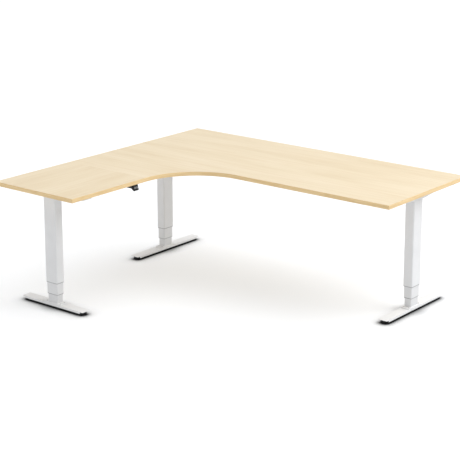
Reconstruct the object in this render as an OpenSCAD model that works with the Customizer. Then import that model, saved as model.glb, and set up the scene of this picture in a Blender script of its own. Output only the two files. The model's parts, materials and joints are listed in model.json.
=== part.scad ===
// Height adjustable L-shaped standing desk on three telescopic columns.
// The origin is on the floor, under the middle of the tabletop's outline.
// +X runs along the long arm to its free end, +Y to its back edge, +Z up.

/* [Tabletop] */
// Length of the long arm, along X
main_w = 2000; // [1800:10:2200]
// Depth of the long arm, along Y
main_d = 805; // [780:5:850]
// Length of the top along Y, from the back edge to the end of the return
return_l = 1760; // [1700:10:1900]
// Depth of the return, along X
return_d = 605; // [590:5:650]
// Radius of the inner corner
corner_r = 365; // [300:5:400]
// Thickness of the boards
top_t = 23; // [20:1:28]
// Thickness of the edge banding
band_t = 2; // [1:0.5:3]
// Height of the tabletop above the floor, as drawn
desk_h = 715; // [710:1:730]

/* [Leg places] */
// Return column, from the return's free end
return_leg_inset = 148; // [120:1:200]
// Corner column, from the left edge
corner_leg_inset = 68; // [60:1:90]
// End column, from the right edge
end_leg_inset = 92; // [60:1:150]

/* [Columns] */
// Short side of the outer tube
col_a = 60; // [60:1:61]
// Long side of the outer tube
col_b = 90; // [88:1:92]
// Wall of the three tubes
tube_t = 2; // [1.5:0.5:2]
// Step from one tube to the next, on each side
stage_step = 4; // [4:0.5:4.5]
// Height of the outer tube's lower end, as drawn
outer_low = 152; // [145:1:160]
// Height of the middle tube's lower end, as drawn
middle_low = 83; // [81:1:90]

/* [Feet] */
// Width of a foot
foot_w = 60; // [60:1:66]
// Length of the two feet under the long arm
main_foot_l = 590; // [560:5:640]
// Length of the foot under the return
return_foot_l = 480; // [460:5:520]
// Height of a foot's upper face
foot_h = 25; // [24:1:26]
// Depth of a foot's folded sides
lip_h = 12; // [9:1:13]
// Height of the levelling pads
pad_h = 3; // [3:1:6]

/* [Frame] */
// Width of a support arm
arm_w = 67; // [67:1:70]
// Length of a support arm
arm_l = 540; // [500:10:560]
// Depth of a support arm at its column
arm_h = 40; // [38:1:44]
// Depth of a support arm at its ends
arm_tip_h = 17; // [16:1:24]
// Width of a beam
beam_w = 80; // [80:1:84]
// Depth of a beam
beam_h = 44; // [42:1:44]
// Length of a beam
beam_l = 500; // [460:10:520]

/* [Handset] */
// Distance of the handset from the back edge of the top
handset_back = 1258; // [1240:1:1400]
// Width of the handset
handset_w = 38; // [38:1:44]

/* [Hidden] */
$fn = 48;
LEGS = ["return", "corner", "end"];
left_x = -main_w / 2;
back_y = return_l / 2;
under = desk_h - top_t;
seam_y = back_y - main_d - corner_r;
inner_x = left_x + return_d;

leg_x = [left_x + return_d / 2, left_x + corner_leg_inset, main_w / 2 - end_leg_inset];
leg_y = [return_leg_inset - return_l / 2, back_y - main_d / 2, back_y - main_d / 2];
leg_turn = [90, 0, 180];
foot_l = [return_foot_l, main_foot_l, main_foot_l];

// Steel sheet of the frame, the clearance between sliding parts
// and how far a cut runs past the face it starts from
sheet = 3;
slip = 0.3;
over = 1;

// Heights inside the columns
base_top = foot_h + 6;
head_z = under - 51;
head_t = 5;
middle_top = head_z - 55;
inner_top = middle_top - 68;
nut_h = 30;
cap_h = 14;
rod_low = 287;
glide_l = 40;
low_glide_l = 30;

// Collar of each lower glide, a little inside the tube above it
collar_h = 4;
collar_inset = 0.6;

// Angle brackets on both sides of each column's top
angle_w = col_a - 4;
angle_t = 4;
angle_h = 34;
ear_l = 35;
ear_screw_x = 18;
ear_screw_y = 68;

// Drive rod, hollow lead screw and the collar in its bearing
rod_d = 12;
spindle_d = 22;
spindle_bore = 14;
bearing_d = 31;

// Gearbox and motor
gear_w = 52;
gear_l = 68;
gear_h = 40;
rod_grip = 14;
motor_d = 38;
motor_l = 150;
motor_z = head_z + head_t + gear_h / 2;
motor_gap = motor_d + 6;

// Support arms: screws along the arm, half of its flat bottom
arm_screw_y = [-240, -120, 120, 240];
arm_flat = 62;

// Beams and their rails; distances along X are from the column's axis
beam_t = 2.5;
beam_screw_x = [260, 420];
rail_bolt_x = [370, 490];
beam_bolt_y = 31;
beam_bolt_z = under - 20;
junction_bolt_x = 56;
junction_bolt_z = under - 22;
junction_w = 140;
rail_w = 16;
rail_h = 34;
rail_t = 2;
rail_y = beam_w / 2 - beam_t - rail_w / 2;
rail_z = under - beam_t - rail_h / 2 - 0.5;
main_rail_l = 1180;
return_rail_y = -480;
beam_start = arm_w / 2;
beam_front_y = leg_y[1] - beam_w / 2;

// Fasteners
foot_bolt_d = 8;
screw_d = 5;
screw_bite = 15;
screw_head_h = 3;
bolt_d = 6;

// Plates across the seam between the boards
seam_plate_x = [left_x + 110, left_x + 400, left_x + 490];
seam_plate_w = 44;
seam_plate_l = 120;

// Bolts between a column and its foot, levelling feet
foot_bolt_x = 16;
foot_bolt_y = 52;
pad_d = 34;
pad_inset = 36;
stud_l = 12;

// Distance of a foot's folded sides and of its sole from the ends
lip_inset = 22;
sole_inset = 8;
sole_play = 5.4;

base_plate_l = 130;

// Control box under the long arm, behind the beam
box_w = 260;
box_l = 120;
box_h = 36;
box_x = -20;
box_y = leg_y[1] + 150;
box_wall = 2.5;
box_ear = 16;
box_low = under - box_h;
box_screw_y = 35;
socket_pitch = 34;
inlet_y = box_y + 20;

// Handset: the face leans back, its lower edge stands further out
handset_y = back_y - handset_back;
handset_d = 54;
face_h = 33;
face_out = 8;
back_h = 20;
face_lean = atan((face_out + 1) / face_h);
key_w = 12;
key_h = 12;
key_y = 8;
key_gap = 0.4;
key_lip = 1.5;
handset_wall = 2.2;
handset_screw_y = 9;

// ---------------------------------------------------------------- helpers

// Moves a piece drawn around a column's axis to leg i
module at_leg(i) {
    translate([leg_x[i], leg_y[i], 0])
        rotate([0, 0, leg_turn[i]])
            children();
}

module at_legs() {
    for (i = [0 : len(LEGS) - 1])
        at_leg(i) children();
}

// A point given from a column's axis, in the desk's own frame
function from_leg(i, x, y) = [
    leg_x[i] + x * cos(leg_turn[i]) - y * sin(leg_turn[i]),
    leg_y[i] + x * sin(leg_turn[i]) + y * cos(leg_turn[i])
];

module rounded(a, b, r) {
    square([a - 2 * r, b], center = true);
    square([a, b - 2 * r], center = true);
    for (sx = [-1, 1], sy = [-1, 1])
        translate([sx * (a / 2 - r), sy * (b / 2 - r)])
            circle(r);
}

// Upright rectangular tube or ring between two heights
module ring(a, b, wall, r, z0, z1) {
    translate([0, 0, z0])
        linear_extrude(z1 - z0)
            difference() {
                rounded(a, b, r);
                rounded(a - 2 * wall, b - 2 * wall, max(r - wall, 0.5));
            }
}

module block(size, at) {
    translate([at[0] - size[0] / 2, at[1] - size[1] / 2, at[2]])
        cube(size);
}

// Sides of the tubes: stage 0 is the outer tube
function tube_a(stage) = col_a - 2 * stage_step * stage;
function tube_b(stage) = col_b - 2 * stage_step * stage;
function tube_r(stage) = 8 - 2 * stage;

// ---------------------------------------------------------------- tabletop

// Wood screws as [x, y, thickness that each one clamps]
arm_screw_sites = [for (i = [0 : 2], y = arm_screw_y)
    concat(from_leg(i, 0, y), [sheet])];
head_screw_sites = [for (i = [0 : 2], sx = [-1, 1], sy = [-1, 1])
    concat(from_leg(i, sx * ear_screw_x, sy * ear_screw_y), [sheet + angle_t])];
beam_screw_sites = [for (i = [0 : 2], x = beam_screw_x)
    concat(from_leg(i, x, 0), [beam_t])];
seam_screw_sites = [for (x = seam_plate_x, sx = [-1, 1], sy = [-1, 1])
    [x + sx * seam_plate_w / 4, seam_y + sy * seam_plate_l / 3, sheet]];
box_screw_sites = [for (sx = [-1, 1], sy = [-1, 1])
    [box_x + sx * (box_w + box_ear) / 2, box_y + sy * box_screw_y, sheet]];
handset_screw_sites = [for (sy = [-1, 1])
    [inner_x - handset_d + 10, handset_y + sy * handset_screw_y, sheet]];
screw_sites = concat(arm_screw_sites, head_screw_sites, beam_screw_sites,
    seam_screw_sites, box_screw_sites, handset_screw_sites);

module screw_holes() {
    for (s = screw_sites)
        translate([s[0], s[1], under - over])
            cylinder(d = screw_d, h = screw_bite + over);
}

// Plan of the main board, inset on its banded edges
module main_plan(inset) {
    difference() {
        union() {
            translate([left_x + inset, back_y - main_d + inset])
                square([main_w - 2 * inset, main_d - 2 * inset]);
            translate([left_x + inset, seam_y])
                square([return_d + corner_r - inset, corner_r + 2 * inset]);
        }
        translate([inner_x + corner_r, seam_y])
            circle(corner_r + inset, $fn = 96);
    }
}

module return_plan(inset) {
    translate([left_x + inset, -return_l / 2 + inset])
        square([return_d - 2 * inset, seam_y + return_l / 2 - inset]);
}

module main_board() {
    color("wheat")
        difference() {
            translate([0, 0, under])
                linear_extrude(top_t)
                    main_plan(band_t);
            screw_holes();
        }
}

module return_board() {
    color("wheat")
        difference() {
            translate([0, 0, under])
                linear_extrude(top_t)
                    return_plan(band_t);
            screw_holes();
        }
}

module main_edge_band() {
    color("burlywood")
        translate([0, 0, under])
            linear_extrude(top_t)
                difference() {
                    main_plan(0);
                    main_plan(band_t);
                }
}

module return_edge_band() {
    color("burlywood")
        translate([0, 0, under])
            linear_extrude(top_t)
                difference() {
                    return_plan(0);
                    return_plan(band_t);
                }
}

// Flat plates that tie the two boards together from below
module seam_plates() {
    color("silver")
        difference() {
            for (x = seam_plate_x)
                translate([x, seam_y, under - sheet])
                    linear_extrude(sheet)
                        rounded(seam_plate_w, seam_plate_l, 4);
            for (s = seam_screw_sites)
                translate([s[0], s[1], under - sheet - over])
                    cylinder(d = screw_d, h = sheet + 2 * over);
        }
}

module wood_screw(clamped) {
    translate([0, 0, under - clamped])
        cylinder(d = screw_d, h = screw_bite + clamped - 1);
    translate([0, 0, under - clamped - screw_head_h])
        cylinder(d1 = screw_d + 2, d2 = 2 * screw_d, h = screw_head_h);
}

module wood_screws() {
    color("dimgray")
        for (s = screw_sites)
            translate([s[0], s[1], 0])
                wood_screw(s[2]);
}

// ---------------------------------------------------------------- support arms

// Side view of an arm, y across and z up
module arm_side() {
    tip = arm_l / 2;
    polygon([
        [-tip, under], [tip, under],
        [tip, under - arm_tip_h], [arm_flat, under - arm_h],
        [-arm_flat, under - arm_h], [-tip, under - arm_tip_h]
    ]);
}

module arm(i) {
    inner_w = arm_w - 2 * sheet;
    color("white")
        difference() {
            at_leg(i)
                difference() {
                    rotate([90, 0, 90])
                        translate([0, 0, -arm_w / 2])
                            linear_extrude(arm_w)
                                arm_side();
                    block([inner_w, arm_l - 2 * sheet, arm_h], [0, 0, under - sheet - arm_h]);
                    block([2 * (sheet + over), motor_gap, arm_h], [arm_w / 2, 0, under - sheet - arm_h]);
                    for (sy = [-1, 1])
                        translate([inner_w / 2 - over, sy * beam_bolt_y, beam_bolt_z])
                            rotate([0, 90, 0])
                                cylinder(d = bolt_d, h = sheet + 2 * over);
                }
            for (s = concat(arm_screw_sites, head_screw_sites))
                translate([s[0], s[1], under - sheet - over])
                    cylinder(d = screw_d, h = sheet + 2 * over);
        }
}

// ---------------------------------------------------------------- beams

// Inverted channel that carries the motor and the rails
module beam(i) {
    color("white")
        at_leg(i)
            difference() {
                block([beam_l, beam_w, beam_h], [beam_start + beam_l / 2, 0, under - beam_h]);
                block([beam_l, beam_w - 2 * beam_t, beam_h],
                    [beam_start + beam_l / 2 + beam_t, 0, under - beam_t - beam_h]);
                block([3 * beam_t, motor_gap, beam_h], [beam_start, 0, under - beam_t - beam_h]);
                for (sy = [-1, 1])
                    translate([beam_start - over, sy * beam_bolt_y, beam_bolt_z])
                        rotate([0, 90, 0])
                            cylinder(d = bolt_d, h = beam_t + 2 * over);
                for (x = beam_screw_x)
                    translate([x, 0, under - beam_t - over])
                        cylinder(d = screw_d, h = beam_t + 2 * over);
                for (x = rail_bolt_x)
                    translate([x, 0, rail_z])
                        rotate([90, 0, 0])
                            cylinder(d = bolt_d, h = beam_w + 2 * over, center = true);
            }
}

// A pair of rectangular tubes along X, from x0 to x1 on a beam's axis
module rail_pair(x0, x1, bolt_x) {
    for (sy = [-1, 1])
        difference() {
            block([x1 - x0, rail_w, rail_h], [(x0 + x1) / 2, sy * rail_y, rail_z - rail_h / 2]);
            block([x1 - x0 + 2 * over, rail_w - 2 * rail_t, rail_h - 2 * rail_t],
                [(x0 + x1) / 2, sy * rail_y, rail_z - rail_h / 2 + rail_t]);
            for (x = bolt_x)
                translate([x, sy * (beam_w / 2 - beam_t), rail_z])
                    rotate([90, 0, 0])
                        cylinder(d = bolt_d, h = 2 * (rail_t + over), center = true);
        }
}

module main_rails() {
    span = leg_x[2] - leg_x[1];
    margin = (span - main_rail_l) / 2;
    color("whitesmoke")
        at_leg(1)
            rail_pair(margin, span - margin, concat(rail_bolt_x, [for (x = rail_bolt_x) span - x]));
}

module return_rails() {
    first = return_rail_y - leg_y[0];
    last = beam_front_y - sheet - leg_y[0];
    color("whitesmoke")
        at_leg(0)
            rail_pair(first, last, rail_bolt_x);
}

// Plate on the long beam's front wall, with tongues in the return's rails
module junction_bracket() {
    tongue = 40;
    tongue_gap = 0.2;
    color("whitesmoke")
        difference() {
            union() {
                block([junction_w, sheet, beam_h - 4],
                    [leg_x[0], beam_front_y - sheet / 2, under - beam_h + 2]);
                for (sx = [-1, 1])
                    block([rail_w - 2 * (rail_t + tongue_gap), tongue, rail_h - 2 * (rail_t + tongue_gap)],
                        [leg_x[0] + sx * rail_y, beam_front_y - sheet - tongue / 2,
                        rail_z - rail_h / 2 + rail_t + tongue_gap]);
            }
            for (sx = [-1, 1])
                translate([leg_x[0] + sx * junction_bolt_x, beam_front_y + over, junction_bolt_z])
                    rotate([90, 0, 0])
                        cylinder(d = bolt_d, h = sheet + 2 * over);
        }
}

// Bolt along +X whose head rests at x = 0
module side_bolt(grip) {
    rotate([0, -90, 0])
        cylinder(d = 11, h = 3.5, $fn = 6);
    rotate([0, 90, 0])
        cylinder(d = bolt_d, h = grip);
}

module beam_bolts() {
    grip = beam_t + rail_t + 2;
    color("gainsboro") {
        at_legs()
            for (sy = [-1, 1])
                translate([beam_start + beam_t, sy * beam_bolt_y, beam_bolt_z])
                    rotate([0, 0, 180])
                        side_bolt(beam_t + sheet);
        at_legs()
            for (x = rail_bolt_x, sy = [-1, 1])
                translate([x, sy * beam_w / 2, rail_z])
                    rotate([0, 0, -90 * sy])
                        side_bolt(grip);
        for (sx = [-1, 1])
            translate([leg_x[0] + sx * junction_bolt_x, beam_front_y - sheet, junction_bolt_z])
                rotate([0, 0, 90])
                    side_bolt(sheet);
    }
}

// ---------------------------------------------------------------- column heads

// Plate in the column's top that carries the gearbox, and the angles
// that are screwed up through the arm
module head_bracket() {
    difference() {
        translate([0, 0, head_z])
            linear_extrude(head_t)
                rounded(col_a - 2 * tube_t, col_b - 2 * tube_t, tube_r(0) - tube_t);
        translate([0, 0, head_z - over])
            cylinder(d = rod_d + 4, h = head_t + 2 * over);
    }
    for (sy = [-1, 1])
        difference() {
            union() {
                block([angle_w, angle_t, angle_h],
                    [0, sy * (col_b + angle_t) / 2, under - sheet - angle_h]);
                block([angle_w, ear_l, angle_t],
                    [0, sy * (col_b + ear_l) / 2, under - sheet - angle_t]);
            }
            for (sx = [-1, 1])
                translate([sx * ear_screw_x, sy * ear_screw_y, under - sheet - angle_t - over])
                    cylinder(d = screw_d, h = angle_t + 2 * over);
        }
}

module head_brackets() {
    color("white")
        at_legs() head_bracket();
}

module gearbox() {
    low = head_z + head_t;
    difference() {
        union() {
            translate([0, 0, low])
                linear_extrude(gear_h)
                    rounded(gear_w, gear_l, 6);
            translate([gear_w / 2 - over, 0, motor_z])
                rotate([0, 90, 0])
                    cylinder(d = motor_d - 2, h = 3);
        }
        translate([0, 0, low - over])
            cylinder(d = rod_d, h = rod_grip + 2 * over);
    }
}

module gearboxes() {
    color("darkgray")
        at_legs() gearbox();
}

module motor(i) {
    from = gear_w / 2 + 2;
    color("dimgray")
        at_leg(i)
            translate([from, 0, motor_z])
                rotate([0, 90, 0]) {
                    cylinder(d = motor_d, h = motor_l - 12);
                    translate([0, 0, motor_l - 12])
                        cylinder(d = motor_d - 4, h = 8);
                    translate([0, 0, motor_l - 4])
                        cylinder(d = 14, h = 4);
                }
}

module drive_rods() {
    color("silver")
        at_legs()
            translate([0, 0, rod_low])
                cylinder(d = rod_d, h = head_z + head_t + rod_grip - rod_low);
}

// ---------------------------------------------------------------- columns

// The outer tube ends under the arm's web, with a slot for the motor
module outer_tube(i) {
    top = under - sheet;
    color("white")
        at_leg(i)
            difference() {
                ring(tube_a(0), tube_b(0), tube_t, tube_r(0), outer_low, top);
                block([4 * tube_t, motor_gap, top], [col_a / 2, 0, head_z + head_t]);
            }
}

// Sleeve in a tube's lower end, with a collar that shows under the tube
module lower_glide(stage, low, length) {
    gap = stage_step - tube_t - slip;
    a = tube_a(stage);
    b = tube_b(stage);
    r = tube_r(stage);
    ring(a - 2 * tube_t, b - 2 * tube_t, gap, r - tube_t, low - collar_h, low + length);
    ring(a - 2 * collar_inset, b - 2 * collar_inset, gap + tube_t - collar_inset,
        r - collar_inset, low - collar_h, low);
}

module outer_glides() {
    color("gray")
        at_legs() lower_glide(0, outer_low, glide_l);
}

module middle_tube(i) {
    color("white")
        at_leg(i)
            ring(tube_a(1), tube_b(1), tube_t, tube_r(1), middle_low, middle_top);
}

// One sleeve outside the middle tube's upper end, one inside its lower end
module middle_glides(i) {
    gap = stage_step - tube_t - slip;
    color("gray")
        at_leg(i) {
            ring(tube_a(1) + 2 * gap, tube_b(1) + 2 * gap, gap,
                tube_r(1) + gap, middle_top - 2 - glide_l, middle_top - 2);
            lower_glide(1, middle_low, low_glide_l);
        }
}

// Plug in the middle tube's upper end that holds the spindle's collar
module bearing_plate(i) {
    color("darkgray")
        at_leg(i)
            difference() {
                translate([0, 0, middle_top - cap_h])
                    linear_extrude(cap_h)
                        rounded(tube_a(1) - 2 * tube_t, tube_b(1) - 2 * tube_t, tube_r(1) - tube_t);
                translate([0, 0, middle_top - cap_h - over])
                    cylinder(d = spindle_d, h = cap_h + 2 * over);
                translate([0, 0, middle_top - cap_h + 4])
                    cylinder(d = bearing_d, h = cap_h);
            }
}

// Hollow lead screw: the drive rod slides in its bore
module spindle(i) {
    color("silver")
        at_leg(i)
            difference() {
                union() {
                    translate([0, 0, middle_low + 7])
                        cylinder(d = spindle_d, h = middle_top - middle_low - 9);
                    translate([0, 0, middle_top - cap_h + 4])
                        cylinder(d = bearing_d, h = cap_h - 6);
                }
                translate([0, 0, middle_low])
                    cylinder(d = spindle_bore, h = middle_top - middle_low);
            }
}

module inner_tube(i) {
    color("white")
        at_leg(i)
            ring(tube_a(2), tube_b(2), tube_t, tube_r(2), base_top, inner_top);
}

module inner_glides() {
    gap = stage_step - tube_t - slip;
    color("lightgray")
        at_legs()
            ring(tube_a(2) + 2 * gap, tube_b(2) + 2 * gap, gap,
                tube_r(2) + gap, inner_top - glide_l, inner_top - 1);
}

module spindle_nuts() {
    color("ivory")
        at_legs()
            difference() {
                translate([0, 0, inner_top - nut_h])
                    linear_extrude(nut_h)
                        rounded(tube_a(2) - 2 * tube_t, tube_b(2) - 2 * tube_t, tube_r(2) - tube_t);
                translate([0, 0, inner_top - nut_h - over])
                    cylinder(d = spindle_d + 0.8, h = nut_h + 2 * over);
            }
}

// ---------------------------------------------------------------- feet

module foot_bolt_places() {
    for (sx = [-1, 1], sy = [-1, 1])
        translate([sx * foot_bolt_x, sy * foot_bolt_y, 0])
            children();
}

module pad_places(i) {
    for (sy = [-1, 1])
        translate([0, sy * (foot_l[i] / 2 - pad_inset), 0])
            children();
}

module base_plates() {
    color("white")
        at_legs()
            difference() {
                translate([0, 0, foot_h])
                    linear_extrude(base_top - foot_h)
                        rounded(foot_w - 4, base_plate_l, 5);
                foot_bolt_places()
                    translate([0, 0, foot_h - over])
                        cylinder(d = foot_bolt_d, h = base_top - foot_h + 2 * over);
            }
}

// Steel plate with folded sides that stop short of its ends
module foot(i) {
    color("white")
        at_leg(i)
            difference() {
                union() {
                    translate([0, 0, foot_h - sheet])
                        linear_extrude(sheet)
                            rounded(foot_w, foot_l[i], 4);
                    block([foot_w, foot_l[i] - 2 * lip_inset, lip_h], [0, 0, foot_h - lip_h]);
                }
                block([foot_w - 5, foot_l[i] + 2 * over, lip_h], [0, 0, foot_h - sheet - lip_h]);
                foot_bolt_places()
                    translate([0, 0, foot_h - sheet - over])
                        cylinder(d = foot_bolt_d, h = sheet + 2 * over);
            }
}

module stadium(w, l) {
    square([w, l - w], center = true);
    for (sy = [-1, 1])
        translate([0, sy * (l - w) / 2])
            circle(d = w);
}

// Black moulded underside with round ends
module foot_sole(i) {
    top = foot_h - sheet;
    color("black")
        at_leg(i)
            difference() {
                translate([0, 0, pad_h])
                    linear_extrude(top - pad_h)
                        stadium(foot_w - sole_play, foot_l[i] - 2 * sole_inset);
                foot_bolt_places()
                    translate([0, 0, pad_h - over])
                        cylinder(d = 18, h = top);
                pad_places(i)
                    translate([0, 0, pad_h - over])
                        cylinder(d = foot_bolt_d, h = stud_l + 2 * over);
            }
}

module foot_bolts() {
    color("silver")
        at_legs()
            foot_bolt_places() {
                translate([0, 0, foot_h - sheet - 5])
                    cylinder(d = 14, h = 5, $fn = 6);
                translate([0, 0, foot_h - sheet])
                    cylinder(d = foot_bolt_d, h = sheet + base_top - foot_h);
            }
}

module levelling_feet() {
    color("black")
        for (i = [0 : len(LEGS) - 1])
            at_leg(i)
                pad_places(i) {
                    cylinder(d = pad_d, h = pad_h);
                    translate([0, 0, pad_h])
                        cylinder(d = foot_bolt_d, h = stud_l);
                }
}

// ---------------------------------------------------------------- control box

module control_box() {
    color("black")
        difference() {
            union() {
                block([box_w, box_l, box_h], [box_x, box_y, box_low]);
                block([box_w + 2 * box_ear, 90, sheet], [box_x, box_y, under - sheet]);
            }
            block([box_w - 2 * box_wall, box_l - 2 * box_wall, box_h],
                [box_x, box_y, box_low - box_wall]);
            for (k = [-1.5 : 1 : 1.5])
                block([18, 3 * box_wall, 12],
                    [box_x + k * socket_pitch, box_y - box_l / 2, box_low + 12]);
            block([3 * box_wall, 27, 20], [box_x + box_w / 2, inlet_y, box_low + 9]);
            for (s = box_screw_sites)
                translate([s[0], s[1], under - sheet - over])
                    cylinder(d = screw_d, h = sheet + 2 * over);
        }
}

module control_lid() {
    color("black")
        block([box_w - 2 * box_wall, box_l - 2 * box_wall, box_wall], [box_x, box_y, box_low]);
}

// Circuit board with the mains inlet, the sockets and the power stage
module control_board() {
    low = box_low + 6;
    color("seagreen") {
        block([box_w - 24, box_l - 12, 2], [box_x, box_y, low]);
        for (k = [-1.5 : 1 : 1.5])
            block([17, 16, 12], [box_x + k * socket_pitch, box_y - box_l / 2 + 15, low + 2]);
        block([20, 26, 18], [box_x + box_w / 2 - 22, inlet_y, low + 2]);
        block([48, 44, 22], [box_x - 70, box_y + 14, low + 2]);
    }
}

// ---------------------------------------------------------------- handset

// Side view of the handset from the edge of the top, x across and z up
module handset_side(inset) {
    back = handset_d - inset;
    lean = inset / 3;
    polygon([
        [-back, under + inset], [-back, under - back_h + inset],
        [lean - 15, under - back_h + inset], [lean + 2, under - face_h + inset],
        [face_out - 2 - inset, under - face_h + inset],
        [face_out - 1.1 * inset, under - face_h + 2 + inset], [-1 - inset, under + inset]
    ]);
}

module handset_profile(inset, w) {
    translate([inner_x, handset_y + w / 2, 0])
        rotate([90, 0, 0])
            linear_extrude(w)
                handset_side(inset);
}

// Puts children on the face: x points out of it, z up along it
module on_face() {
    translate([inner_x + (face_out - 1) / 2, handset_y, under - face_h / 2])
        rotate([0, -face_lean, 0])
            children();
}

module key_places() {
    for (sy = [-1, 1])
        translate([0, sy * key_y, 0])
            children();
}

module handset_body() {
    color("black")
        difference() {
            handset_profile(0, handset_w);
            intersection() {
                handset_profile(handset_wall, handset_w - 2 * handset_wall);
                block([4 * handset_d, 4 * handset_d, face_h],
                    [inner_x, handset_y, under - sheet - face_h]);
            }
            for (s = handset_screw_sites)
                translate([s[0], s[1], under - sheet - over])
                    cylinder(d = screw_d, h = sheet + 2 * over);
            for (s = handset_screw_sites)
                translate([s[0], s[1], under - sheet - face_h])
                    cylinder(d = 12, h = face_h);
            on_face()
                key_places()
                    block([12, key_w + 2 * key_gap, key_h + 2 * key_gap],
                        [0, 0, -key_h / 2 - key_gap]);
        }
}

module handset_board() {
    color("seagreen")
        on_face()
            block([1.4, handset_w - 7, 16], [-6.6, 0, -8]);
}

// Key with a wider foot behind the face that keeps it in
module button(side) {
    foot_t = 1;
    color("gray")
        on_face()
            translate([0, side * key_y, 0]) {
                block([5.4, key_w, key_h], [-1.4, 0, -key_h / 2]);
                block([foot_t, key_w + 2 * key_lip, key_h + 2 * key_lip],
                    [-3.6, 0, -key_h / 2 - key_lip]);
            }
}

module up_button() {
    button(1);
}

module down_button() {
    button(-1);
}

// ---------------------------------------------------------------- nodes

main_board();
return_board();
main_edge_band();
return_edge_band();
seam_plates();
arm(0);  // arm_return
arm(1);  // arm_corner
arm(2);  // arm_end
wood_screws();
beam(0);  // beam_return
beam(1);  // beam_corner
beam(2);  // beam_end
main_rails();
return_rails();
junction_bracket();
beam_bolts();
head_brackets();
gearboxes();
motor(0);  // motor_return
motor(1);  // motor_corner
motor(2);  // motor_end
drive_rods();
outer_tube(0);  // outer_tube_return
outer_tube(1);  // outer_tube_corner
outer_tube(2);  // outer_tube_end
outer_glides();
middle_tube(0);  // middle_tube_return
middle_tube(1);  // middle_tube_corner
middle_tube(2);  // middle_tube_end
middle_glides(0);  // middle_glides_return
middle_glides(1);  // middle_glides_corner
middle_glides(2);  // middle_glides_end
bearing_plate(0);  // bearing_plate_return
bearing_plate(1);  // bearing_plate_corner
bearing_plate(2);  // bearing_plate_end
spindle(0);  // spindle_return
spindle(1);  // spindle_corner
spindle(2);  // spindle_end
inner_tube(0);  // inner_tube_return
inner_tube(1);  // inner_tube_corner
inner_tube(2);  // inner_tube_end
inner_glides();
spindle_nuts();
base_plates();
foot(0);  // foot_return
foot(1);  // foot_corner
foot(2);  // foot_end
foot_sole(0);  // foot_sole_return
foot_sole(1);  // foot_sole_corner
foot_sole(2);  // foot_sole_end
foot_bolts();
levelling_feet();
control_box();
control_lid();
control_board();
handset_body();
handset_board();
up_button();
down_button();
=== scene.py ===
import json
import math

import bmesh
import bpy
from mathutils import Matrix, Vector


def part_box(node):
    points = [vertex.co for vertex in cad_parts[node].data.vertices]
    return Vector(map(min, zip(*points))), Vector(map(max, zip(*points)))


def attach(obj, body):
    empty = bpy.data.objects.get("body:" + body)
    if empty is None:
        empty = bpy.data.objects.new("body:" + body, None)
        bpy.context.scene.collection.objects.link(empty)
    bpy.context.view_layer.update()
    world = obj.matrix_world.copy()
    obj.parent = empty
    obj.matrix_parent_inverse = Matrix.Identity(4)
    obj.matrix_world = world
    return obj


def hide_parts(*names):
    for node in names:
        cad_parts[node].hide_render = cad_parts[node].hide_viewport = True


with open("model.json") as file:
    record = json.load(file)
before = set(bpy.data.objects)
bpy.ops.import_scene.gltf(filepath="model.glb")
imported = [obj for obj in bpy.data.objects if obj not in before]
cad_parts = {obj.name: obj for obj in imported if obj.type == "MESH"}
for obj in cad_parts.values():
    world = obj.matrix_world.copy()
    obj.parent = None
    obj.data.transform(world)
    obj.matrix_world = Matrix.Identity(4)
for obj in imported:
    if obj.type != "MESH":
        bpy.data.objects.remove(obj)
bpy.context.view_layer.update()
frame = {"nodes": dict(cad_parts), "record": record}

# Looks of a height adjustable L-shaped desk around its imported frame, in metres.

NODES = frame["nodes"]
LEGS = ("return", "corner", "end")
MM = 0.001
JOINTS = {joint["name"]: joint for joint in frame["record"]["behaviour"]["joints"]}

# Widths of the rounded edges on the CAD nodes, and of the moulded handset's
EDGE = 0.5 * MM
MOULDED_EDGE = 0.9 * MM

# Corners that meet at more than this angle are rounded; flatter ones are dissolved
SHARP_ANGLE = math.radians(35)
FLAT_ANGLE = math.radians(0.3)

# Points in each ring of a screw, and the turn that puts them in step with its recess
RING_POINTS = 24
RING_TURN = -math.pi / 12


# ---------------------------------------------------------------- shader helper

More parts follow.
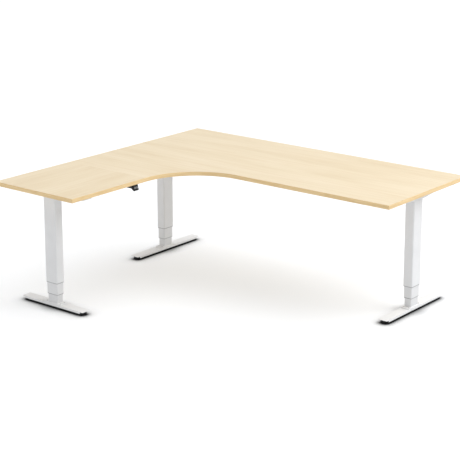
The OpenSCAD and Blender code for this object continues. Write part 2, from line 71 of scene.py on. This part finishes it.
class Shader:
    """A material with short calls for the nodes that its surface needs."""

    def __init__(self, name, base, roughness, metallic=0.0):
        self.material = bpy.data.materials.new(name)
        self.material.use_nodes = True
        self.tree = self.material.node_tree
        self.surface = self.tree.nodes["Principled BSDF"]
        self.surface.inputs["Base Color"].default_value = (*base, 1)
        self.surface.inputs["Roughness"].default_value = roughness
        self.surface.inputs["Metallic"].default_value = metallic
        self.place = self.tree.nodes.new("ShaderNodeTexCoord").outputs["Object"]

    def noise(self, scale, detail, offset, distortion=0.0):
        """Noise in object space; scale is cycles per metre along X, Y and Z."""
        mapping = self.tree.nodes.new("ShaderNodeMapping")
        mapping.inputs["Scale"].default_value = scale
        mapping.inputs["Location"].default_value = (offset, offset, offset)
        texture = self.tree.nodes.new("ShaderNodeTexNoise")
        texture.inputs["Scale"].default_value = 1.0
        texture.inputs["Detail"].default_value = detail
        texture.inputs["Distortion"].default_value = distortion
        self.tree.links.new(self.place, mapping.inputs["Vector"])
        self.tree.links.new(mapping.outputs["Vector"], texture.inputs["Vector"])
        return texture.outputs["Fac"]

    def ramp(self, value, *stops):
        """Colour ramp through stops of (position, colour)."""
        node = self.tree.nodes.new("ShaderNodeValToRGB")
        elements = node.color_ramp.elements
        while len(elements) < len(stops):
            elements.new(0.5)
        for element, (position, colour) in zip(elements, stops):
            element.position = position
            element.color = (*colour, 1)
        self.tree.links.new(value, node.inputs["Fac"])
        return node.outputs["Color"]

    def range(self, value, low, high, start=0.3, end=0.7):
        """Value remapped from start..end to low..high."""
        node = self.tree.nodes.new("ShaderNodeMapRange")
        node.inputs["From Min"].default_value = start
        node.inputs["From Max"].default_value = end
        node.inputs["To Min"].default_value = low
        node.inputs["To Max"].default_value = high
        self.tree.links.new(value, node.inputs["Value"])
        return node.outputs["Result"]

    def blend(self, mode, factor, first, second):
        """Two colours mixed; factor is a number or a socket."""
        node = self.tree.nodes.new("ShaderNodeMix")
        node.data_type = "RGBA"
        node.blend_type = mode
        if isinstance(factor, float):
            node.inputs["Factor"].default_value = factor
        else:
            self.tree.links.new(factor, node.inputs["Factor"])
        for value, socket in ((first, node.inputs["A"]), (second, node.inputs["B"])):
            if isinstance(value, tuple):
                socket.default_value = (*value, 1)
            else:
                self.tree.links.new(value, socket)
        return node.outputs["Result"]

    def occlusion_shade(self, distance):
        """Ambient occlusion for painted shade: 1 in the open, less the more surface there is within
        that distance.
        """
        node = self.tree.nodes.new("ShaderNodeAmbientOcclusion")
        node.samples = 8
        node.inputs["Distance"].default_value = distance
        return node.outputs["AO"]

    def paint(self, socket, value):
        """Feeds a node's output into a socket of the surface."""
        self.tree.links.new(value, self.surface.inputs[socket])

    def bump(self, value, distance, strength):
        """Surface relief from a value, that many metres high."""
        node = self.tree.nodes.new("ShaderNodeBump")
        node.inputs["Distance"].default_value = distance
        node.inputs["Strength"].default_value = strength
        self.tree.links.new(value, node.inputs["Height"])
        self.tree.links.new(node.outputs["Normal"], self.surface.inputs["Normal"])


# ---------------------------------------------------------------- materials

# Base colours that more than one tone is made from
BIRCH = (0.705, 0.598, 0.424)
EDGE_BIRCH = (0.745, 0.548, 0.285)
COAT_WHITE = (0.69, 0.693, 0.7)
# Painted light: a lighter copy of COAT_WHITE for the feet, base plates and weld beads, so they look
# more brightly lit than the columns
LIT_FOOT_WHITE = (0.8, 0.803, 0.81)


def shade(base, *factors):
    """A base colour times one factor for all its channels, or a factor for each."""
    each = factors * 3 if len(factors) == 1 else factors
    return tuple(min(1.0, value * factor) for value, factor in zip(base, each))


def even(scale):
    """The same number of cycles per metre along X, Y and Z."""
    return (scale, scale, scale)


def laminate(name, grain_along_x):
    """Light birch decor: broad figure, growth lines, fibres and short flecks."""

    def stretched(along, across):
        return (along, across, across) if grain_along_x else (across, along, across)

    shader = Shader(name, BIRCH, 0.42)
    figure = shader.noise(stretched(1.1, 7.0), detail=4.0, distortion=0.6, offset=3.0)
    lines = shader.noise(stretched(1.6, 46.0), detail=5.0, distortion=1.1, offset=7.0)
    fibres = shader.noise(stretched(18.0, 620.0), detail=3.0, distortion=0.2, offset=11.0)
    flecks = shader.noise(stretched(110.0, 950.0), detail=2.0, offset=17.0)
    tone = shader.ramp(figure, (0.32, shade(BIRCH, 0.955, 0.935, 0.9)), (0.5, BIRCH),
                       (0.68, shade(BIRCH, 1.03, 1.04, 1.07)))
    growth = shader.ramp(lines, (0.34, (0.955, 0.92, 0.87)), (0.52, (1.0, 1.0, 1.0)),
                         (0.66, (1.02, 1.025, 1.04)))
    tone = shader.blend("MULTIPLY", 0.8, tone, growth)
    strands = shader.ramp(fibres, (0.3, (0.95, 0.925, 0.88)), (0.62, (1.0, 1.0, 1.0)))
    tone = shader.blend("MULTIPLY", 0.55, tone, strands)
    dashes = shader.range(flecks, 1.0, 0.0, start=0.27, end=0.34)
    fleck_share = shader.range(dashes, 0.0, 0.22, start=0.0, end=1.0)
    tone = shader.blend("MIX", fleck_share, tone, shade(BIRCH, 0.78, 0.68, 0.58))
    shader.paint("Base Color", tone)
    shader.paint("Roughness", shader.range(fibres, 0.38, 0.47))
    shader.bump(fibres, 0.03 * MM, strength=0.5)
    shader.surface.inputs["Specular IOR Level"].default_value = 0.35
    return shader.material


def edge_banding():
    """Edge strip of the same decor, its fibres running level round the top."""
    shader = Shader("edge_banding", EDGE_BIRCH, 0.4)
    streaks = shader.noise((5.0, 5.0, 260.0), detail=4.0, distortion=0.3, offset=2.0)
    fibres = shader.noise((30.0, 30.0, 1500.0), detail=3.0, offset=5.0)
    patches = shader.noise((9.0, 9.0, 40.0), detail=3.0, distortion=0.8, offset=14.0)
    tone = shader.ramp(streaks, (0.34, shade(EDGE_BIRCH, 0.9, 0.87, 0.82)), (0.52, EDGE_BIRCH),
                       (0.68, shade(EDGE_BIRCH, 1.06, 1.08, 1.13)))
    strands = shader.ramp(fibres, (0.3, (0.93, 0.9, 0.84)), (0.62, (1.0, 1.0, 1.0)))
    tone = shader.blend("MULTIPLY", 0.5, tone, strands)
    figure = shader.ramp(patches, (0.36, (0.93, 0.9, 0.85)), (0.58, (1.0, 1.0, 1.0)))
    shader.paint("Base Color", shader.blend("MULTIPLY", 0.8, tone, figure))
    shader.paint("Roughness", shader.range(fibres, 0.36, 0.45))
    shader.bump(fibres, 0.02 * MM, strength=0.4)
    return shader.material


def powder_coat(name, base, roughness):
    """Baked powder paint with its fine orange peel."""
    shader = Shader(name, base, roughness)
    peel = shader.noise(even(620.0), detail=2.0, offset=1.0)
    drift = shader.noise(even(9.0), detail=3.0, offset=4.0)
    light = shade(base, 1.02)
    dark = shade(base, 0.975)
    shader.paint("Base Color", shader.ramp(drift, (0.35, dark), (0.65, light)))
    shader.paint("Roughness", shader.range(peel, roughness - 0.05, roughness + 0.05))
    shader.bump(peel, 0.05 * MM, strength=0.45)
    return shader.material


def brushed_metal(name, base, roughness, scale):
    """Bare or plated metal with fine drawn lines along the scale's low axis."""
    shader = Shader(name, base, roughness, 1.0)
    lines = shader.noise(scale, detail=3.0, offset=6.0)
    stain = shader.noise(even(24.0), detail=4.0, distortion=0.4, offset=9.0)
    light = shade(base, 1.07)
    dark = shade(base, 0.84)
    shader.paint("Base Color", shader.ramp(stain, (0.3, dark), (0.68, light)))
    shader.paint("Roughness", shader.range(lines, roughness - 0.07, roughness + 0.08))
    shader.bump(lines, 0.02 * MM, strength=0.4)
    return shader.material


def moulded_plastic(name, base, roughness, grain):
    """Spark-eroded texture of an injection moulding; grain is cycles per metre."""
    shader = Shader(name, base, roughness)
    texture = shader.noise(even(grain), detail=3.0, offset=8.0)
    flow = shader.noise(even(14.0), detail=2.0, distortion=0.5, offset=12.0)
    light = shade(base, 1.12)
    dark = shade(base, 0.9)
    shader.paint("Base Color", shader.ramp(flow, (0.35, dark), (0.65, light)))
    shader.paint("Roughness", shader.range(texture, roughness - 0.05, roughness + 0.07))
    shader.bump(texture, 0.06 * MM, strength=0.5)
    shader.surface.inputs["Specular IOR Level"].default_value = 0.2
    return shader.material


def circuit_board():
    """Green solder mask over faint copper tracks."""
    shader = Shader("circuit_board", (0.02, 0.16, 0.07), 0.3)
    tracks = shader.noise((60.0, 260.0, 60.0), detail=1.0, offset=3.0)
    shader.paint("Base Color", shader.ramp(tracks, (0.47, (0.018, 0.14, 0.06)),
                                           (0.5, (0.04, 0.24, 0.1)), (0.53, (0.018, 0.14, 0.06))))
    shader.paint("Roughness", shader.range(tracks, 0.26, 0.4))
    return shader.material


def make_materials():
    """Materials by slot name, and the few versions that single pieces wear."""
    return {
        "top_laminate": laminate("top_laminate", True),
        "return_laminate": laminate("return_laminate", False),
        "edge_banding": edge_banding(),
        "white_powder_coat": powder_coat("white_powder_coat", COAT_WHITE, 0.42),
        # Painted light: the lighter copy of the white coat
        "foot_coat_painted_light": powder_coat("foot_coat_painted_light", LIT_FOOT_WHITE, 0.38),
        "white_fastener": powder_coat("white_fastener", shade(COAT_WHITE, 0.94), 0.35),
        "galvanised": brushed_metal("galvanised", (0.62, 0.63, 0.64), 0.42, even(60.0)),
        "fastener_steel": brushed_metal("fastener_steel", (0.36, 0.35, 0.33), 0.38, even(260.0)),
        "gear_casting": brushed_metal("gear_casting", (0.5, 0.505, 0.51), 0.55, even(420.0)),
        "motor_can": brushed_metal("motor_can", (0.3, 0.305, 0.31), 0.4, (40.0, 900.0, 900.0)),
        "bright_steel": brushed_metal("bright_steel", (0.66, 0.67, 0.68), 0.24, (900.0, 900.0, 60.0)),
        # Glide plastic, its grey partly painted shade: darker than the plastic alone, so the glide
        # rims under each column step show the shade line there
        "glide_plastic": moulded_plastic("glide_plastic", (0.38, 0.385, 0.39), 0.5, 900.0),
        "nut_plastic": moulded_plastic("nut_plastic", (0.78, 0.75, 0.66), 0.45, 900.0),
        "black_plastic": moulded_plastic("black_plastic", (0.009, 0.009, 0.0095), 0.5, 1100.0),
        "foot_rubber": moulded_plastic("foot_rubber", (0.02, 0.02, 0.02), 0.75, 700.0),
        "circuit_board": circuit_board(),
        "key_plastic": moulded_plastic("key_plastic", (0.14, 0.142, 0.146), 0.5, 1300.0),
        "key_mark": moulded_plastic("key_mark", (0.5, 0.505, 0.51), 0.5, 1300.0),
    }


def dress(obj, material):
    obj.data.materials.clear()
    obj.data.materials.append(material)


def dress_nodes():
    """Every CAD node takes the material of its slot, or its own version of it."""
    # The feet and base plates wear the lighter copy of the white coat: painted light
    own = {"return_board": "return_laminate", "base_plates": "foot_coat_painted_light"}
    own.update({f"foot_{leg}": "foot_coat_painted_light" for leg in LEGS})
    for part in frame["record"]["subparts"]:
        name = part["node"]
        dress(NODES[name], MATERIALS[own.get(name, part["material_slot"])])


# ---------------------------------------------------------------- softened edges

def soften(obj, width):
    """Rounds the sharp edges of a CAD node with modifiers; its mesh stays as packed."""
    for polygon in obj.data.polygons:
        polygon.use_smooth = True
    weld = obj.modifiers.new("weld", "WELD")
    weld.merge_threshold = 0.01 * MM
    flatten = obj.modifiers.new("flatten", "DECIMATE")
    flatten.decimate_type = "DISSOLVE"
    flatten.angle_limit = FLAT_ANGLE
    bevel = obj.modifiers.new("bevel", "BEVEL")
    bevel.width = width
    bevel.segments = 2
    bevel.limit_method = "ANGLE"
    bevel.angle_limit = SHARP_ANGLE
    normals = obj.modifiers.new("normals", "WEIGHTED_NORMAL")
    normals.keep_sharp = True


# ---------------------------------------------------------------- added pieces

def add_piece(name, builder, body, slot):
    """A mesh made in the row frame that rides on a body and wears a slot's material."""
    bmesh.ops.recalc_face_normals(builder, faces=builder.faces)
    mesh = bpy.data.meshes.new(name)
    builder.to_mesh(mesh)
    builder.free()
    piece = bpy.data.objects.new(name, mesh)
    bpy.context.scene.collection.objects.link(piece)
    dress(piece, MATERIALS[slot])
    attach(piece, body)
    return piece


def smooth_by_angle(piece, degrees):
    """Smooth faces with sharp edges kept where they meet at more than that angle."""
    limit = math.radians(degrees)
    mesh = piece.data
    builder = bmesh.new()
    builder.from_mesh(mesh)
    for face in builder.faces:
        face.smooth = True
    for edge in builder.edges:
        edge.smooth = len(edge.link_faces) == 2 and edge.calc_face_angle(0.0) < limit
    builder.to_mesh(mesh)
    builder.free()


def loose_parts(name):
    """Box (lowest, highest) of each separate solid in a CAD node."""
    builder = bmesh.new()
    builder.from_mesh(NODES[name].data)
    bmesh.ops.remove_doubles(builder, verts=builder.verts, dist=0.01 * MM)
    left = set(builder.verts)
    boxes = []
    while left:
        front = [left.pop()]
        corners = []
        while front:
            vertex = front.pop()
            corners.append(vertex.co.copy())
            for edge in vertex.link_edges:
                other = edge.other_vert(vertex)
                if other in left:
                    left.remove(other)
                    front.append(other)
        low = Vector(min(c[axis] for c in corners) for axis in range(3))
        high = Vector(max(c[axis] for c in corners) for axis in range(3))
        boxes.append((low, high))
    builder.free()
    return sorted(boxes, key=lambda box: tuple(box[0]))


def add_ring(builder, points):
    return [builder.verts.new(point) for point in points]


def bridge(builder, rings):
    """Quads from each ring to the next; all rings have the same number of points."""
    for first, second in zip(rings, rings[1:]):
        for i in range(len(first)):
            j = (i + 1) % len(first)
            builder.faces.new((first[i], first[j], second[j], second[i]))


def circle(radius, height):
    angles = (RING_TURN + 2 * math.pi * i / RING_POINTS for i in range(RING_POINTS))
    return [Vector((radius * math.cos(a), radius * math.sin(a), height)) for a in angles]


def cross(arm, half, height):
    """Plus-shaped outline with as many points as a circle, in step with it."""
    along = 0.6 * arm
    quarter = [(arm, -half), (arm, 0), (arm, half), (along, half), (half, half), (half, along)]
    points = []
    for c, d in ((1, 0), (0, 1), (-1, 0), (0, -1)):
        points += [Vector((c * x - d * y, d * x + c * y, height)) for x, y in quarter]
    return points


def cross_head(builder, place, radius, height):
    """Pan head that hangs under a point, with a cross recess; returns its upper rim."""
    profile = ((1.0, 0.0), (1.0, 0.3), (0.95, 0.62), (0.8, 0.88), (0.62, 1.0))
    recess_mouth = (0.52 * radius, 0.13 * radius, -height)
    recess_floor = (0.36 * radius, 0.09 * radius, -0.35 * height)
    rings = [circle(radius * r, -height * z) for r, z in profile]
    rings += [cross(*recess_mouth), cross(*recess_floor)]
    rings = [add_ring(builder, [place + point for point in ring]) for ring in rings]
    bridge(builder, rings)
    builder.faces.new(rings[-1])
    return rings[0]


def add_wood_screws():
    """Cross-head screws in place of the CAD's plain ones, with tapered tips."""
    builder = bmesh.new()
    head_h = 3 * MM
    shank_r = 2.5 * MM
    tip_l = 5 * MM
    point_r = 0.4 * MM
    point_gap = 0.2 * MM
    for low, high in loose_parts("wood_screws"):
        seat = Vector(((low.x + high.x) / 2, (low.y + high.y) / 2, low.z + head_h))
        rings = [cross_head(builder, seat, (high.x - low.x) / 2, head_h)]
        length = high.z - seat.z
        levels = ((shank_r, 0.0), (shank_r, length - tip_l), (point_r, length - point_gap))
        for radius, height in levels:
            rings.append(add_ring(builder, [seat + point for point in circle(radius, height)]))
        bridge(builder, rings)
        builder.faces.new(rings[-1])
    piece = add_piece("cross_head_screws", builder, "tabletop", "fastener_steel")
    smooth_by_angle(piece, 40)
    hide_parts("wood_screws")


def rounded_outline(half_x, half_y, radius, steps):
    """Points of a rounded rectangle with their outward directions, about evenly spaced."""
    spacing = 1.2 * MM
    points = []
    for quarter, (sx, sy) in enumerate(((1, 1), (-1, 1), (-1, -1), (1, -1))):
        for i in range(steps + 1):
            angle = math.pi / 2 * (quarter + i / steps)
            out = Vector((math.cos(angle), math.sin(angle), 0))
            centre = Vector((sx * (half_x - radius), sy * (half_y - radius), 0))
            points.append((centre + radius * out, out))
    dense = []
    for (start, out_a), (end, out_b) in zip(points, points[1:] + points[:1]):
        count = max(1, round((end - start).length / spacing))
        for i in range(count):
            part = i / count
            dense.append((start.lerp(end, part), out_a.lerp(out_b, part).normalized()))
    return dense


def add_weld_beads():
    """A rippled bead where each inner tube stands on its base plate."""
    builder = bmesh.new()
    width = 2.4 * MM
    height = 2.0 * MM
    tube_corner = 5 * MM
    corner_steps = 6
    ripple = 0.09
    section = ((-0.4, 0.0), (-0.3, 1.0), (0.12, 0.92), (0.55, 0.6), (0.85, 0.25), (1.0, 0.0))
    for leg in LEGS:
        low, high = (Vector(corner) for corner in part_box(f"inner_tube_{leg}"))
        centre = Vector(((low.x + high.x) / 2, (low.y + high.y) / 2, low.z))
        half = (high - low) / 2
        rings = []
        outline = rounded_outline(half.x, half.y, tube_corner, corner_steps)
        for index, (point, out) in enumerate(outline):
            swell = 1.0 + ripple * math.cos(math.pi * index / 2)
            up = Vector((0, 0, height * swell))
            rings.append(add_ring(builder, [centre + point + out * (width * swell * a) + up * b
                                            for a, b in section]))
        bridge(builder, rings + rings[:1])
    piece = add_piece("weld_beads", builder, "base", "white_powder_coat")
    # Painted light: the beads wear the lighter copy of the white coat, as the base plates do
    dress(piece, MATERIALS["foot_coat_painted_light"])
    smooth_by_angle(piece, 50)


def face_of(name, joint_name):
    """Middle of a key's face, its outward, side and up directions, and half its width."""
    out = -Vector(JOINTS[joint_name]["axis"]).normalized()
    side = Vector((0, 1, 0))
    up = side.cross(out).normalized()
    if up.z < 0:
        up = -up
    rim_depth = 0.05 * MM
    corners = [vertex.co for vertex in NODES[name].data.vertices]
    front = max(corner.dot(out) for corner in corners)
    rim = [corner for corner in corners if corner.dot(out) > front - rim_depth]
    middle = sum(rim, Vector()) / len(rim)
    half = max(abs((corner - middle).dot(side)) for corner in rim)
    return middle, out, side, up, half


def add_key_marks():
    """A raised arrow on each key, pointing up or down, sunk as deep as it stands proud."""
    thickness = 0.2 * MM
    for key, turn in (("up", 1), ("down", -1)):
        middle, out, side, up, half = face_of(f"{key}_button", f"{key}_press")
        reach = 0.46 * half
        rise = 0.5 * reach
        stroke = 0.24 * half
        lower = [(-reach, -rise), (0, rise), (reach, -rise)]
        upper = [(a, b + stroke) for a, b in reversed(lower)]
        outline = [(turn * a, turn * (b - stroke / 2)) for a, b in lower + upper]
        builder = bmesh.new()
        rings = [add_ring(builder, [middle + side * a + up * b + out * height for a, b in outline])
                 for height in (-thickness, thickness)]
        bridge(builder, rings)
        for ring in rings:
            builder.faces.new(ring)
        piece = add_piece(f"{key}_arrow", builder, f"{key}_key", "key_plastic")
        dress(piece, MATERIALS["key_mark"])


def add_lid_ribs():
    """A field of cooling ribs on the underside of the control box."""
    low, high = (Vector(corner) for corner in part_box("control_lid"))
    middle = (low + high) / 2
    builder = bmesh.new()
    rib_half = 1.2 * MM
    pitch = 8 * MM
    ribs_each_side = 8
    reach = 0.3 * (high.y - low.y)
    outline = rounded_outline(rib_half, reach, 0.98 * rib_half, 4)
    levels = ((1.0, -0.3 * MM), (1.0, 0.7 * MM), (0.55, 1.0 * MM))
    for index in range(-ribs_each_side, ribs_each_side + 1):
        rings = []
        for size, depth in levels:
            place = Vector((middle.x + index * pitch, middle.y, low.z - depth))
            points = [place + Vector((point.x * size, point.y, 0)) for point, _ in outline]
            rings.append(add_ring(builder, points))
        bridge(builder, rings)
        builder.faces.new(rings[0])
        builder.faces.new(rings[-1])
    smooth_by_angle(add_piece("lid_ribs", builder, "tabletop", "black_plastic"), 40)


def add_lid_screws():
    """A small screw near each corner of the control box's lid."""
    low, high = (Vector(corner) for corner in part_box("control_lid"))
    builder = bmesh.new()
    inset = 9 * MM
    head_r = 2.6 * MM
    head_h = 1.6 * MM
    for x in (low.x + inset, high.x - inset):
        for y in (low.y + inset, high.y - inset):
            builder.faces.new(cross_head(builder, Vector((x, y, low.z)), head_r, head_h))
    smooth_by_angle(add_piece("lid_screws", builder, "tabletop", "fastener_steel"), 40)


# ---------------------------------------------------------------- studio

def add_light(name, kind, place, target, power, **settings):
    """A lamp at a place, aimed at a target."""
    data = bpy.data.lights.new(name, kind)
    data.energy = power
    for key, value in settings.items():
        setattr(data, key, value)
    light = bpy.data.objects.new(name, data)
    light.location = place
    light.rotation_euler = (Vector(target) - Vector(place)).to_track_quat("-Z", "Y").to_euler()
    bpy.context.scene.collection.objects.link(light)


def build_world():
    """Soft sky, a little brighter towards the horizon and dimmer on the +X side."""
    world = bpy.data.worlds.new("studio")
    world.use_nodes = True
    tree = world.node_tree
    direction = tree.nodes.new("ShaderNodeTexCoord").outputs["Generated"]
    split = tree.nodes.new("ShaderNodeSeparateXYZ")
    tree.links.new(direction, split.inputs["Vector"])
    blend = tree.nodes.new("ShaderNodeMix")
    blend.data_type = "RGBA"
    blend.blend_type = "MULTIPLY"
    blend.inputs["Factor"].default_value = 1.0
    # Axis of the direction, (position, grey) where each ramp starts and ends, socket
    by_height = ("Z", (0.0, 1.0), (0.6, 0.68), "A")
    by_side = ("X", (0.2, 1.0), (0.9, 0.4), "B")
    for axis, start, end, socket in (by_height, by_side):
        ramp = tree.nodes.new("ShaderNodeValToRGB")
        for element, (position, grey) in zip(ramp.color_ramp.elements, (start, end)):
            element.position = position
            element.color = (grey, grey, grey, 1)
        tree.links.new(split.outputs[axis], ramp.inputs["Fac"])
        tree.links.new(ramp.outputs["Color"], blend.inputs[socket])
    tree.links.new(blend.outputs["Result"], tree.nodes["Background"].inputs["Color"])
    bpy.context.scene.world = world


def build_floor():
    """White paper that glows, painted light that keeps wide shadows faint, with painted contact shade
    that darkens it close to the feet.
    """
    half_size = 80
    contact_reach = 100 * MM
    darkest = 0.42
    mesh = bpy.data.meshes.new("floor")
    builder = bmesh.new()
    bmesh.ops.create_grid(builder, x_segments=1, y_segments=1, size=half_size)
    builder.to_mesh(mesh)
    builder.free()
    floor = bpy.data.objects.new("floor", mesh)
    bpy.context.scene.collection.objects.link(floor)
    paper = (0.59, 0.6, 0.615)
    shader = Shader("floor_paper", paper, 0.9)
    # Painted contact shade: ambient occlusion turns the base colour black and dims the glow close to
    # the feet
    contact_shade = shader.occlusion_shade(contact_reach)
    shader.paint("Base Color", shader.ramp(contact_shade, (darkest, (0.0, 0.0, 0.0)), (1.0, paper)))
    shader.surface.inputs["Specular IOR Level"].default_value = 0.0
    # Painted light: the floor glows, so the shadows cast under the desk stay faint
    shader.surface.inputs["Emission Color"].default_value = (1, 1, 1, 1)
    shader.paint("Emission Strength", shader.range(contact_shade, 0.0, 0.4, start=darkest, end=1.0))
    dress(floor, shader.material)


def build_studio():
    """A wide soft sun from behind on the right, and a softbox on the long arm's end."""
    bpy.context.scene.view_settings.view_transform = "Standard"
    build_world()
    build_floor()
    add_light("sun", "SUN", place=(2.0, 2.5, 5.0), target=(0, 0, 0), power=1.9,
              angle=math.radians(80))
    add_light("right_softbox", "AREA", place=(3.2, 1.4, 3.6), target=(0.6, 0.3, 0.6), power=60,
              shape="SQUARE", size=2.5)


def build_camera():
    """Stands in front of the long arm's free end and looks down on the inner corner."""
    look_down = 13.9
    turn = 38.68
    data = bpy.data.cameras.new("camera")
    data.sensor_width = 36
    data.lens = 112.85
    data.shift_x = -0.0095
    data.shift_y = -0.15
    camera = bpy.data.objects.new("camera", data)
    camera.location = (4.941, -6.153, 2.771)
    camera.rotation_euler = (math.radians(90 - look_down), 0, math.radians(turn))
    bpy.context.scene.collection.objects.link(camera)
    bpy.context.scene.camera = camera


# ---------------------------------------------------------------- the scene

MATERIALS = make_materials()
dress_nodes()
for node_name, node in NODES.items():
    soften(node, MOULDED_EDGE if node_name == "handset_body" else EDGE)
add_wood_screws()
add_weld_beads()
add_key_marks()
add_lid_ribs()
add_lid_screws()
build_studio()
build_camera()
